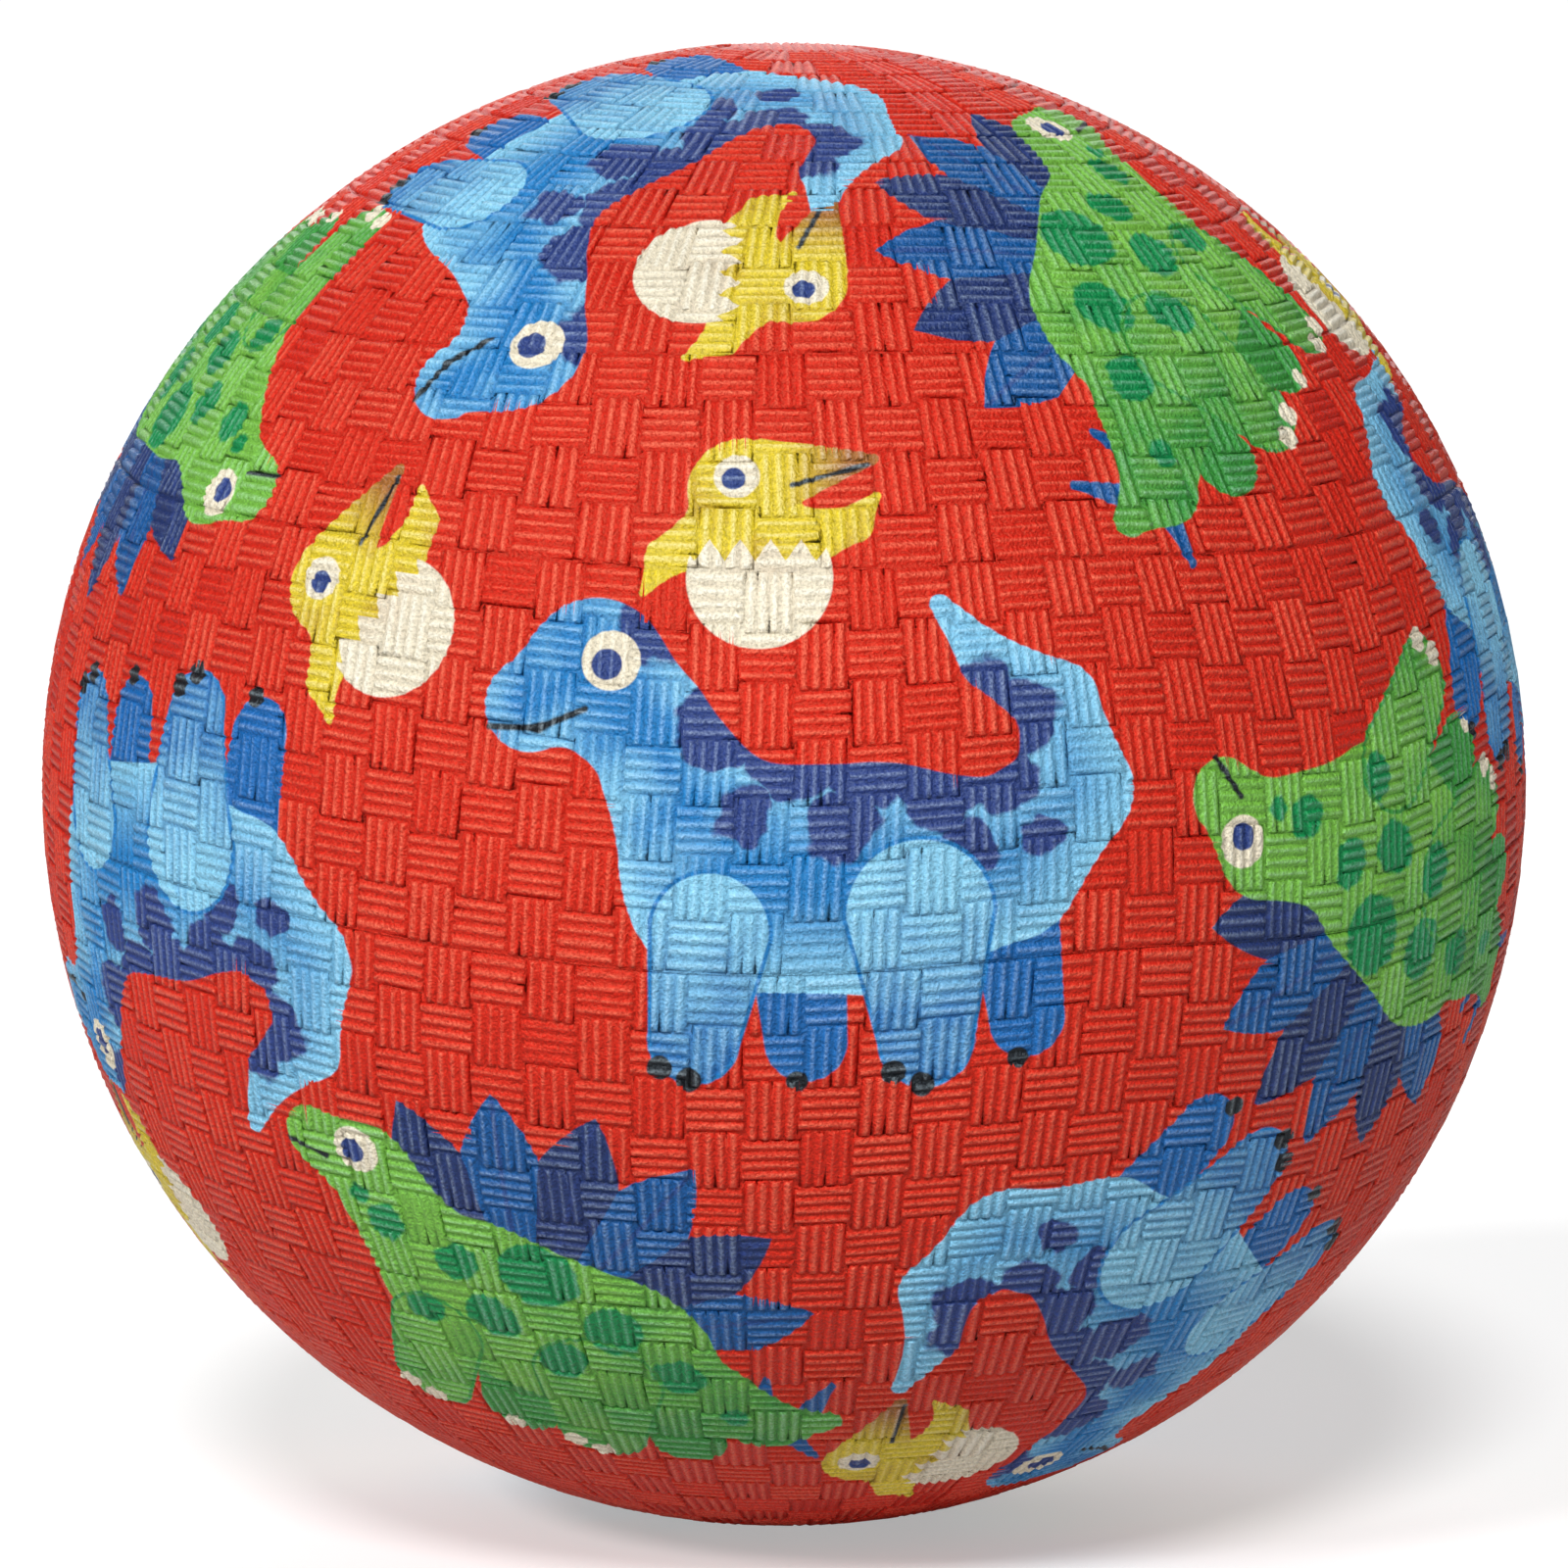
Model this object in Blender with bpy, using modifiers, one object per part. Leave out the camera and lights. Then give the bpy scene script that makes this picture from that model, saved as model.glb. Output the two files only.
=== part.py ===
"""A 7-inch playground rubber ball: a moulded cover over an airtight bladder, with a needle valve.

Metres, +Z up. The origin is the ball's centre, and the valve is on the +Y side. Every sub-part is turned
about the valve's axis, so each one is a profile of (radius, height) points, with its height measured from
the ball's centre towards the valve.
"""

import math

import bmesh
import bpy

# Ball
BALL_RADIUS = 0.089
COVER_WALL = 0.0016
BLADDER_WALL = 0.0010
PLY_GAP = 0.0003  # the cement film between two layers

# Valve
LAND_RADIUS = 0.008  # flat moulded disc round the valve
NECK_RADIUS = 0.0036
BORE_RADIUS = 0.0023
CHAMBER_RADIUS = 0.0031  # wider part of the housing, which holds the plug's bulb
BODY_RADIUS = 0.0046
BODY_LENGTH = 0.0140
OUTLET_RADIUS = 0.0012
FLANGE_RADIUS = 0.0110
FLANGE_THICK = 0.0010
FLANGE_EDGE_THICK = 0.0005
NECK_RECESS = 0.0002  # how far the neck's end lies below the land
FIT_GAP = 0.0003
PATCH_RADIUS = 0.0160
PATCH_THICK = 0.0007
NEEDLE_MOUTH_RADIUS = 0.0010
NEEDLE_RADIUS = 0.0005
NEEDLE_DEPTH = 0.0085
ROUNDING = 0.0003

# Facets
TURN_STEPS = 48
VALVE_STEPS = 24
SHOULDER_ANGLE = math.radians(13)  # finer steps lie inside this angle, over the flange and the patch
SHOULDER_ARC_STEPS = 4
FRONT_ARC_STEPS = 9  # from the shoulder to the ball's widest ring
REAR_ARC_STEPS = 10  # from the widest ring to the far pole

# Heights of the layers on the valve's axis
COVER_INSIDE = BALL_RADIUS - COVER_WALL
BLADDER_OUTSIDE = COVER_INSIDE - PLY_GAP
BLADDER_INSIDE = BLADDER_OUTSIDE - BLADDER_WALL
FLANGE_OUTSIDE = BLADDER_INSIDE - PLY_GAP
LAND_HEIGHT = math.sqrt(BALL_RADIUS**2 - LAND_RADIUS**2)
NECK_TOP = LAND_HEIGHT - NECK_RECESS
HOLE_RADIUS = NECK_RADIUS + FIT_GAP
BODY_BOTTOM = FLANGE_OUTSIDE - FLANGE_THICK - BODY_LENGTH
CHAMBER_TOP = BODY_BOTTOM + 0.0075
CHAMBER_BOTTOM = BODY_BOTTOM + 0.0015


def clear_scene():
    for obj in list(bpy.data.objects):
        bpy.data.objects.remove(obj)


def new_collection(name):
    collection = bpy.data.collections.new(name)
    bpy.context.scene.collection.children.link(collection)
    return collection


def rubber(name, colour, roughness):
    material = bpy.data.materials.new(name)
    material.use_nodes = True
    shader = material.node_tree.nodes["Principled BSDF"]
    shader.inputs["Base Color"].default_value = (*colour, 1.0)
    shader.inputs["Roughness"].default_value = roughness
    shader.inputs["Metallic"].default_value = 0.0
    return material


def on_sphere(radius, out):
    """The (radius, height) point of a sphere at this distance out from the valve's axis."""
    return (out, math.sqrt(radius**2 - out**2))


def dish(radius, start_out, end_out, steps):
    """Points of a sphere between two distances out from the valve's axis, in equal steps outwards."""
    outs = [start_out + (end_out - start_out) * i / steps for i in range(steps + 1)]
    return [on_sphere(radius, out) for out in outs]


def arc(radius, start, end, steps):
    """Points of a sphere's meridian, with angles in radians from the valve's pole."""
    angles = [start + (end - start) * i / steps for i in range(steps + 1)]
    return [(radius * math.sin(a), radius * math.cos(a)) for a in angles]


def meridian(radius, start_out):
    """A sphere's meridian, from start_out beside the valve, through the widest ring, to the far pole."""
    start = math.asin(start_out / radius)
    shoulder = arc(radius, start, SHOULDER_ANGLE, SHOULDER_ARC_STEPS)
    front = arc(radius, SHOULDER_ANGLE, math.pi / 2, FRONT_ARC_STEPS)
    rear = arc(radius, math.pi / 2, math.pi, REAR_ARC_STEPS)
    return shoulder + front[1:] + rear[1:-1] + [(0.0, -radius)]


def turned(name, profile, closed, steps, material, parent, collection):
    """A solid turned from a profile, which runs down the outer side and back up the inner side."""
    mesh = bpy.data.meshes.new(name)
    shape = bmesh.new()
    corners = [shape.verts.new((out, 0.0, height)) for out, height in profile]
    for a, b in zip(corners, corners[1:]):
        shape.edges.new((a, b))
    if closed:
        shape.edges.new((corners[-1], corners[0]))
    shape.to_mesh(mesh)
    shape.free()
    mesh.materials.append(material)
    obj = bpy.data.objects.new(name, mesh)
    collection.objects.link(obj)
    obj.parent = parent
    screw = obj.modifiers.new("turn", "SCREW")
    screw.axis = "Z"
    screw.steps = steps
    screw.render_steps = steps
    screw.use_merge_vertices = True
    screw.merge_threshold = 0.00001
    screw.use_smooth_shade = True
    return obj


def shell_profile(outer, inner):
    """A ball's wall with a hole at the valve: in along the far pole, out along the inside, back outside."""
    return list(reversed(inner)) + outer


def outer_cover_profile():
    """The cover has a flat land round the valve, level with the ball's surface at the land's rim."""
    land = [(HOLE_RADIUS, LAND_HEIGHT - ROUNDING), (HOLE_RADIUS + ROUNDING, LAND_HEIGHT)]
    outside = land + meridian(BALL_RADIUS, LAND_RADIUS)
    return shell_profile(outside, meridian(COVER_INSIDE, HOLE_RADIUS))


def inner_bladder_profile():
    outside = meridian(BLADDER_OUTSIDE, HOLE_RADIUS)
    return shell_profile(outside, meridian(BLADDER_INSIDE, HOLE_RADIUS))


def valve_housing_profile():
    """A neck up through both layers, a dished flange under them, and a stepped body that hangs inside."""
    neck = [
        (BORE_RADIUS + ROUNDING, NECK_TOP),
        (NECK_RADIUS - ROUNDING, NECK_TOP),
        (NECK_RADIUS, NECK_TOP - ROUNDING),
    ]
    flange = [
        *dish(FLANGE_OUTSIDE, NECK_RADIUS, FLANGE_RADIUS, 3),
        on_sphere(FLANGE_OUTSIDE - FLANGE_EDGE_THICK, FLANGE_RADIUS),
        *dish(FLANGE_OUTSIDE - FLANGE_THICK, FLANGE_RADIUS - FLANGE_THICK, BODY_RADIUS, 2),
    ]
    body = [
        (BODY_RADIUS, BODY_BOTTOM + 0.0040),
        (BODY_RADIUS - 0.0008, BODY_BOTTOM + 0.0008),
        (BODY_RADIUS - 0.0016, BODY_BOTTOM),
        (OUTLET_RADIUS, BODY_BOTTOM),
    ]
    bore = [
        (OUTLET_RADIUS, CHAMBER_BOTTOM),
        (CHAMBER_RADIUS, CHAMBER_BOTTOM + 0.0008),
        (CHAMBER_RADIUS, CHAMBER_TOP),
        (BORE_RADIUS, CHAMBER_TOP + 0.0010),
        (BORE_RADIUS, NECK_TOP - ROUNDING),
    ]
    return neck + flange + body + bore


def valve_patch_profile():
    """A thin ring that covers the flange and steps up at the flange's edge to reach the bladder."""
    under_flange = FLANGE_OUTSIDE - FLANGE_THICK - PLY_GAP
    step = FLANGE_RADIUS + 2 * FIT_GAP
    hole = BODY_RADIUS + FIT_GAP
    outer = [
        *dish(under_flange, hole, step - FIT_GAP, 2),
        *dish(FLANGE_OUTSIDE, step + FLANGE_THICK, PATCH_RADIUS, 2),
    ]
    inner = [
        on_sphere(FLANGE_OUTSIDE - PATCH_THICK / 2, PATCH_RADIUS),
        *dish(FLANGE_OUTSIDE - PATCH_THICK, PATCH_RADIUS - PATCH_THICK, step + 1.5 * FLANGE_THICK, 2),
        *dish(under_flange - PATCH_THICK, step, hole, 2),
    ]
    return outer + inner


def valve_plug_profile():
    """A soft plug with a bulb that locks in the chamber and a narrow blind channel for the needle."""
    stem = BORE_RADIUS - FIT_GAP
    bulb = CHAMBER_RADIUS - FIT_GAP
    top = NECK_TOP - FIT_GAP
    return [
        (0.0, top - NEEDLE_DEPTH - NEEDLE_RADIUS),
        (NEEDLE_RADIUS, top - NEEDLE_DEPTH),
        (NEEDLE_RADIUS, top - 0.0010),
        (NEEDLE_MOUTH_RADIUS, top),
        (stem - ROUNDING, top),
        (stem, top - ROUNDING),
        (stem, CHAMBER_TOP + 0.0006),
        (bulb, CHAMBER_TOP - 0.0006),
        (bulb, CHAMBER_BOTTOM + 0.0030),
        (bulb - 0.0006, CHAMBER_BOTTOM + 0.0018),
        (bulb - 0.0016, CHAMBER_BOTTOM + 0.0012),
        (0.0, CHAMBER_BOTTOM + 0.0010),
    ]


def main():
    clear_scene()
    collection = new_collection("playground_ball")
    valve_axis = bpy.data.objects.new("valve_axis", None)
    valve_axis.rotation_euler = (-math.pi / 2, 0.0, 0.0)
    collection.objects.link(valve_axis)

    cover_rubber = rubber("cover_rubber", (0.62, 0.035, 0.020), 0.50)
    bladder_rubber = rubber("bladder_rubber", (0.045, 0.043, 0.042), 0.62)
    housing_rubber = rubber("housing_rubber", (0.030, 0.029, 0.029), 0.55)
    patch_rubber = rubber("patch_rubber", (0.075, 0.070, 0.066), 0.70)
    plug_rubber = rubber("plug_rubber", (0.050, 0.047, 0.045), 0.48)

    pieces = (
        ("outer_cover", outer_cover_profile(), False, TURN_STEPS, cover_rubber),
        ("inner_bladder", inner_bladder_profile(), False, TURN_STEPS, bladder_rubber),
        ("valve_housing", valve_housing_profile(), True, VALVE_STEPS, housing_rubber),
        ("valve_patch", valve_patch_profile(), True, VALVE_STEPS, patch_rubber),
        ("valve_plug", valve_plug_profile(), False, VALVE_STEPS, plug_rubber),
    )
    for name, profile, closed, steps, material in pieces:
        turned(name, profile, closed, steps, material, valve_axis, collection)


main()
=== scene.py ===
"""The playground ball's looks: a basket-weave cover in true relief, its print, its valve and the studio.

Metres, in the CAD model's frame: origin at the ball's centre, +Z up, -Y the front, +Y the valve.
"""

import math

import bmesh
import bpy
import numpy as np
from mathutils import Matrix, Vector, geometry


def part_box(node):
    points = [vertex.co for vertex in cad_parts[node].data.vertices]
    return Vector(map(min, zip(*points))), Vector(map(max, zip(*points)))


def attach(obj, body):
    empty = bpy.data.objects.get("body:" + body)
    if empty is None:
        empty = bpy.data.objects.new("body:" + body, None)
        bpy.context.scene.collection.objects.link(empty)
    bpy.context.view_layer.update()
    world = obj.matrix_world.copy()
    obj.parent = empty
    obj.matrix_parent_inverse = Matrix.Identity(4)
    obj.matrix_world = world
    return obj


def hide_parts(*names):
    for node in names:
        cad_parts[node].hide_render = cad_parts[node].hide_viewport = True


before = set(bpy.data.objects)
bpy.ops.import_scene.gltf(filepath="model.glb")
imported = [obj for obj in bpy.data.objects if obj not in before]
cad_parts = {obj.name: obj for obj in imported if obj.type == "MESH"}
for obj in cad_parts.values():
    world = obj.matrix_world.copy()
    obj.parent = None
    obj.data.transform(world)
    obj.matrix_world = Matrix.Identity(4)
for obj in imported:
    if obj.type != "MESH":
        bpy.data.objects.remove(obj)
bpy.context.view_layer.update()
MM = 0.001

# ---- sizes, from the frame where they can be

COVER_LOW, COVER_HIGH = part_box("outer_cover")
BLADDER_LOW, BLADDER_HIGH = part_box("inner_bladder")
BALL_RADIUS = (COVER_HIGH[2] - COVER_LOW[2]) / 2
LAND_HEIGHT = COVER_HIGH[1]  # the flat disc round the valve lies at this Y
LAND_RADIUS = math.sqrt(BALL_RADIUS**2 - LAND_HEIGHT**2)
PLY_GAP = 0.3 * MM  # between the cover and the bladder
COVER_INSIDE = (BLADDER_HIGH[2] - BLADDER_LOW[2]) / 2 + PLY_GAP
VALVE_HOLE_RADIUS = 3.9 * MM

RIB_HEIGHT = 0.35 * MM
BASE_RADIUS = BALL_RADIUS - RIB_HEIGHT
SEAM_HEIGHT = 0.12 * MM  # the mould's parting line stands this far above the base
CLEAR_RADIUS = LAND_RADIUS + 0.7 * MM  # bare base round the land
FADE_WIDTH = 0.8 * MM  # over which the ribs die out towards the land
LAND_FOOT = LAND_RADIUS + 0.25 * MM  # where the land's rounded edge meets the base
# The rounded edges, as (millimetres out from the land's or the hole's own edge, millimetres below the land)
LAND_EDGE = ((0.08, 0.16), (-0.12, 0.02), (-0.30, 0.0))
HOLE_EDGE = ((0.30, 0.0), (0.09, 0.09), (0.0, 0.30))
RIM_SEARCH = 20 * MM  # how far past a cut its new rim is looked for
LAND_RIB_HEIGHT = 0.5  # the land counts as a rib halfway up, so it takes half the painted shade of the valleys and no painted crest highlight

# The mould's axis leans a little towards the front, as the ball lies
MOULD_TILT = math.radians(9.2)
MOULD_ROLL = math.radians(1.1)
MOULD = Matrix.Rotation(MOULD_ROLL, 3, "Y") @ Matrix.Rotation(MOULD_TILT, 3, "X")

# ---- the weave

EQUATOR_BLOCKS = 94
CELL = math.tau / EQUATOR_BLOCKS  # one block, as an angle at the ball's centre
LAST_RING = 21
# Bands of rings share a block count; a band ends where its blocks get too narrow
WIDEST_BLOCK = 1.08
NARROWEST_BLOCK = 0.89

EDGE, LEVEL, UPRIGHT = -1, 0, 1  # what a point of the weave belongs to
HULL, ENCLOSED = 0, 1  # where Delaunay triangles are made: in the whole hull, or inside the lines
RIBS_PER_BLOCK = 4
# In cells. A level block is wide and low, an upright one narrow and tall, and they interlock
LEVEL_CENTRE, UPRIGHT_CENTRE = 0.5, 1.5
LEVEL_LENGTH, LEVEL_STACK = 1.05, 0.82
UPRIGHT_STACK = 0.90
LOW_EDGE, HIGH_EDGE, PLAIN_EDGE = 0.42, 0.58, 0.485  # a pair's edge, from its middle
END_GAP = 0.010  # between a block and the edge that it reaches
CORNER = 0.04  # half the width of a step in the edge
# A rib's rounded section, as shares of its half width and its height
SHOULDER_OUT, SHOULDER_UP = 0.56, 0.66
# How much shorter than its block a rib is, at each end and in cells, on its shoulders and its crest
SHOULDER_SHORT, CREST_SHORT = 0.016, 0.030
RIB_TIP = 0.08  # in cells from a rib's end, where a second point keeps its shading even
# Random spreads: each block's turn in radians and its height as a share, and each point's place in cells
JITTER_TURN, JITTER_HEIGHT, WOBBLE = 0.010, 0.09, 0.009
SHORTEST_SHIFT, LONGEST_SHIFT = 0.2, 0.8  # in blocks, where the block count changes
PARTING_SHIFT = 0.4  # in blocks, between the two halves
WANDER = 0.010  # how far the rows stray, in radians
SEED = 7
CAP_SHARE = 0.93  # of the pole patch's radius has ribs

# Points in each circle
SEAM_POINTS = 4 * EQUATOR_BLOCKS
CAP_POINTS = 48
VALVE_POINTS = 72
POLE_WALL_POINTS, ADDED_WALL_POINTS = 8, 60  # inside, at the pole and from there to the middle
WALL_STEPS = 20
WELD = 1e-6  # metres


def rib_lines(length, across_centre, half_width):
    """One rib along x: its raised lines of (x, y, height), each from end to end."""
    section = ((-SHOULDER_OUT, SHOULDER_UP, SHOULDER_SHORT), (0.0, 1.0, CREST_SHORT),
               (SHOULDER_OUT, SHOULDER_UP, SHOULDER_SHORT))
    lines = []
    for out, up, short in section:
        end = length / 2 - short
        along = (-end, RIB_TIP - end, end - RIB_TIP, end)
        lines.append([(x, across_centre + out * half_width, up) for x in along])
    return lines


def block_lines(length, stack, low_end, high_end):
    """A block's ribs along x, which run from low_end to high_end, and the valleys between them."""
    pitch = stack / RIBS_PER_BLOCK
    valleys = []
    for i in range(RIBS_PER_BLOCK + 1):
        y = (i - RIBS_PER_BLOCK / 2) * pitch
        valleys.append([(x, y, 0.0) for x in (-length / 2, 0.0, length / 2)])
    lines = [[valley[0] for valley in valleys], [valley[2] for valley in valleys]] + valleys
    for i in range(RIBS_PER_BLOCK):
        lines += rib_lines(length, (i + 0.5 - RIBS_PER_BLOCK / 2) * pitch, pitch / 2)
    shorter = {-1: low_end + length / 2, 0: 0.0, 1: high_end - length / 2}
    return [[(x + shorter[(x > 0) - (x < 0)], y, up) for x, y, up in line] for line in lines]


def edge_points(plain, side):
    """The pair's lower (-1) or upper (1) edge: a wave that interlocks with the next ring, or plain."""
    low = (CORNER, 0.5, 1 - CORNER)
    high = (-CORNER, 1 + CORNER, 1.5, 2 - CORNER)
    return [(x, side * (PLAIN_EDGE if plain else LOW_EDGE if x in low else HIGH_EDGE))
            for x in sorted(low + high)]


def triangulated(places, lines, where, closest):
    """Delaunay triangles that keep the lines: points, faces, and which place each point is."""
    points, _, faces, sources, _, _ = geometry.delaunay_2d_cdt(
        [Vector(p) for p in places], lines, [], where, closest)
    if any(len(source) != 1 for source in sources):
        raise ValueError("lines cross or touch")
    return points, np.array(faces), [source[0] for source in sources]


def in_scene(name, data):
    """A new object with that mesh, light or camera."""
    made = bpy.data.objects.new(name, data)
    bpy.context.scene.collection.objects.link(made)
    return made


class Pair:
    """A level and an upright block, triangulated once. Places are in cells, heights from 0 to 1."""

    def __init__(self, plain_below, plain_above):
        self.points, self.heights, self.blocks, self.lines = [], [], [], []
        below = edge_points(plain_below, -1)
        above = edge_points(plain_above, 1)
        outline = below + [(2 - CORNER, 0.0)] + above[::-1] + [(-CORNER, 0.0)]
        first = [self.point(x, y, 0.0, EDGE) for x, y in outline]
        self.lines += list(zip(first, first[1:] + first[:1]))
        low_end = -(PLAIN_EDGE if plain_below else HIGH_EDGE) + END_GAP
        high_end = (PLAIN_EDGE if plain_above else HIGH_EDGE) - END_GAP
        # A level block reaches out to a plain edge, so that no bare strip is left there
        reach = (PLAIN_EDGE - END_GAP) / (LEVEL_STACK / 2)
        stretch_below = reach if plain_below else 1
        stretch_above = reach if plain_above else 1
        for line in block_lines(LEVEL_LENGTH, LEVEL_STACK, -LEVEL_LENGTH / 2, LEVEL_LENGTH / 2):
            self.line([(x + LEVEL_CENTRE, y * (stretch_above if y > 0 else stretch_below), up)
                       for x, y, up in line], LEVEL)
        for line in block_lines(2 * (HIGH_EDGE - END_GAP), UPRIGHT_STACK, low_end, high_end):
            self.line([(UPRIGHT_CENTRE - y, x, up) for x, y, up in line], UPRIGHT)
        self.triangulate(len(below))

    def point(self, x, y, height, block):
        place = (round(x, 6), round(y, 6))
        if place in self.points:
            return self.points.index(place)
        self.points.append(place)
        self.heights.append(height)
        self.blocks.append(block)
        return len(self.points) - 1

    def line(self, points, block):
        made = [self.point(x, y, height, block) for x, y, height in points]
        self.lines += list(zip(made, made[1:]))

    def triangulate(self, edge_count):
        points, self.faces, source = triangulated(self.points, self.lines, ENCLOSED, 1e-6)
        self.x = np.array([p.x for p in points])
        self.y = np.array([p.y for p in points])
        self.height = np.array(self.heights)[source]
        self.block = np.array(self.blocks)[source]
        self.below = [source.index(i) for i in range(edge_count)]
        self.above = [source.index(i) for i in range(2 * edge_count, edge_count, -1)]


class Skin:
    """A growing surface in mould coordinates: latitude, longitude and height over the base."""

    def __init__(self):
        self.lat, self.lon, self.height, self.faces, self.count = [], [], [], [], 0

    def add(self, lat, lon, height):
        """Adds points and returns the number of the first."""
        lat, lon, height = np.broadcast_arrays(lat, lon, height)
        self.lat.append(lat.ravel())
        self.lon.append(lon.ravel())
        self.height.append(height.ravel())
        self.count += lat.size
        return self.count - lat.size

    def loop(self, lat, count, height):
        """A level circle of points."""
        lon = np.arange(count) * math.tau / count
        first = self.add(lat, lon, height)
        return np.arange(first, first + count), lon

    def join(self, lower, upper):
        """Triangles between two circles of points, each given once round as (indices, longitudes)."""
        (low, low_lon), (high, high_lon) = lower, upper
        start = np.argmin(np.abs((high_lon - low_lon[0] + math.pi) % math.tau - math.pi))
        high, high_lon = np.roll(high, -start), np.roll(high_lon, -start)
        low_turn = list(np.unwrap(low_lon)) + [low_lon[0] + math.tau]
        shift = round((low_lon[0] - high_lon[0]) / math.tau) * math.tau
        high_turn = np.unwrap(high_lon) + shift
        high_turn = list(high_turn) + [high_turn[0] + math.tau]
        i = j = 0
        made = []
        while i < len(low) or j < len(high):
            a, b = low[i % len(low)], high[j % len(high)]
            if j == len(high) or (i < len(low) and low_turn[i + 1] <= high_turn[j + 1]):
                i += 1
                made.append((a, low[i % len(low)], b))
            else:
                j += 1
                made.append((a, high[j % len(high)], b))
        made = np.array(made)
        self.faces.append(made[made[:, 1] != made[:, 2]])

    def arrays(self):
        return (np.concatenate(self.lat), np.concatenate(self.lon),
                np.concatenate(self.height), np.concatenate(self.faces))


def rings():
    """(ring, block count, plain below, plain above) from the equator to the last ring before the cap."""
    counts = []
    for ring in range(LAST_RING + 1):
        round_middle = EQUATOR_BLOCKS * math.cos((ring + 0.5) * CELL)
        if not counts or round_middle / counts[-1] < NARROWEST_BLOCK:
            widest = WIDEST_BLOCK if counts else 1.0
            counts.append(2 * round(EQUATOR_BLOCKS * math.cos(ring * CELL) / widest / 2))
        else:
            counts.append(counts[-1])
    for ring, count in enumerate(counts):
        plain_below = ring == 0 or counts[ring - 1] != count
        plain_above = ring == LAST_RING or counts[ring + 1] != count
        yield ring, count, plain_below, plain_above


def add_ring(skin, pair, ring, count, offset, rng):
    """Lays a ring of pairs, and returns its lower and upper edges for join()."""
    step = math.tau / count
    pairs = count // 2
    level = pair.block == LEVEL
    upright = pair.block == UPRIGHT
    lat, lon, height = [], [], []
    for k in range(pairs):
        x, y, up = pair.x.copy(), pair.y.copy(), pair.height.copy()
        for mine, centre in ((level, LEVEL_CENTRE), (upright, UPRIGHT_CENTRE)):
            turn = rng.normal(0, JITTER_TURN)
            across = x[mine] - centre
            x[mine] += turn * y[mine]
            y[mine] -= turn * across
            up[mine] *= 1 + rng.normal(0, JITTER_HEIGHT)
        inner = pair.block != EDGE
        x[inner] += rng.normal(0, WOBBLE, inner.sum())
        y[inner] += rng.normal(0, WOBBLE, inner.sum())
        lat.append((ring + 0.5 + y) * CELL)
        lon.append((2 * k + x + ring % 2 + offset) * step)
        height.append(up)
    size = len(pair.x)
    first = skin.add(np.array(lat), np.array(lon), np.array(height) * RIB_HEIGHT)
    starts = first + size * np.arange(pairs)
    skin.faces.append((pair.faces[None] + starts[:, None, None]).reshape(-1, 3))
    all_lon = np.array(lon)
    edges = []
    for row in (pair.below[:-1], pair.above[:-1]):
        edges.append(((starts[:, None] + row).ravel(), all_lon[:, row].ravel() % math.tau))
    return edges


def weave(side, pairs):
    """One half's outer skin, from the parting line to the pole, as Skin arrays."""
    rng = np.random.default_rng(SEED + side)
    skin = Skin()
    last = skin.loop(0.0, SEAM_POINTS, SEAM_HEIGHT)
    offset = 0.0 if side > 0 else PARTING_SHIFT
    for ring, count, plain_below, plain_above in rings():
        lower, upper = add_ring(skin, pairs[plain_below, plain_above], ring, count, offset, rng)
        if plain_below:
            skin.join(last, lower)
        last = upper
        if plain_above:
            offset += rng.uniform(SHORTEST_SHIFT, LONGEST_SHIFT)
    cap_edge = (LAST_RING + 1) * CELL
    cap = skin.loop(cap_edge, CAP_POINTS, 0.0)
    skin.join(last, cap)
    return skin, cap


def cap_patch(skin, cap):
    """The pole's round patch: parallel ribs, cut to a circle."""
    indices, lon = cap
    radius = math.pi / 2 - (LAST_RING + 1) * CELL
    places = [(radius * math.cos(a), radius * math.sin(a)) for a in lon]
    heights = [0.0] * len(places)
    lines = [(i, (i + 1) % len(places)) for i in range(len(places))]
    pitch = CELL / RIBS_PER_BLOCK * LEVEL_STACK
    inner = radius * CAP_SHARE
    section = ((-1, 0.0), (-SHOULDER_OUT, SHOULDER_UP), (0.0, 1.0), (SHOULDER_OUT, SHOULDER_UP))
    steps = int(inner / pitch)
    for i in range(-steps, steps):
        middle = (i + 0.5) * pitch
        room = math.sqrt(max(inner**2 - (abs(middle) + pitch / 2) ** 2, 0))
        for out, up in section:
            y = middle + out * pitch / 2
            half = room - up * CREST_SHORT * CELL
            if half < pitch / 2:
                continue
            along = (-half, -half / 3, half / 3, half)
            first = len(places)
            places += [(x, y) for x in along]
            heights += [up for _ in along]
            lines += [(first + k, first + k + 1) for k in range(len(along) - 1)]
    points, faces, source = triangulated(places, lines, ENCLOSED, 1e-7)
    lat = np.array([math.pi / 2 - math.hypot(p.x, p.y) for p in points])
    lon = np.array([math.atan2(p.y, p.x) for p in points])
    first = skin.add(lat, lon, np.array(heights)[source] * RIB_HEIGHT)
    # The circle's own points are the ones that the cap's edge already has
    own = {first + k: indices[s] for k, s in enumerate(source) if s < len(indices)}
    made = faces + first
    for new, old in own.items():
        made[made == new] = old
    skin.faces.append(made)


def inner_wall(skin):
    """The wall's inside, from the pole down to the parting line. Returns the last circle, for join()."""
    depth = COVER_INSIDE - BASE_RADIUS
    last = skin.loop(math.pi / 2, 1, depth)
    for step in range(1, WALL_STEPS + 1):
        lat = math.pi / 2 * (1 - step / WALL_STEPS)
        count = POLE_WALL_POINTS + round(ADDED_WALL_POINTS * math.cos(lat))
        circle = skin.loop(lat, count, depth)
        skin.join(last, circle)
        last = circle
    return last


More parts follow.
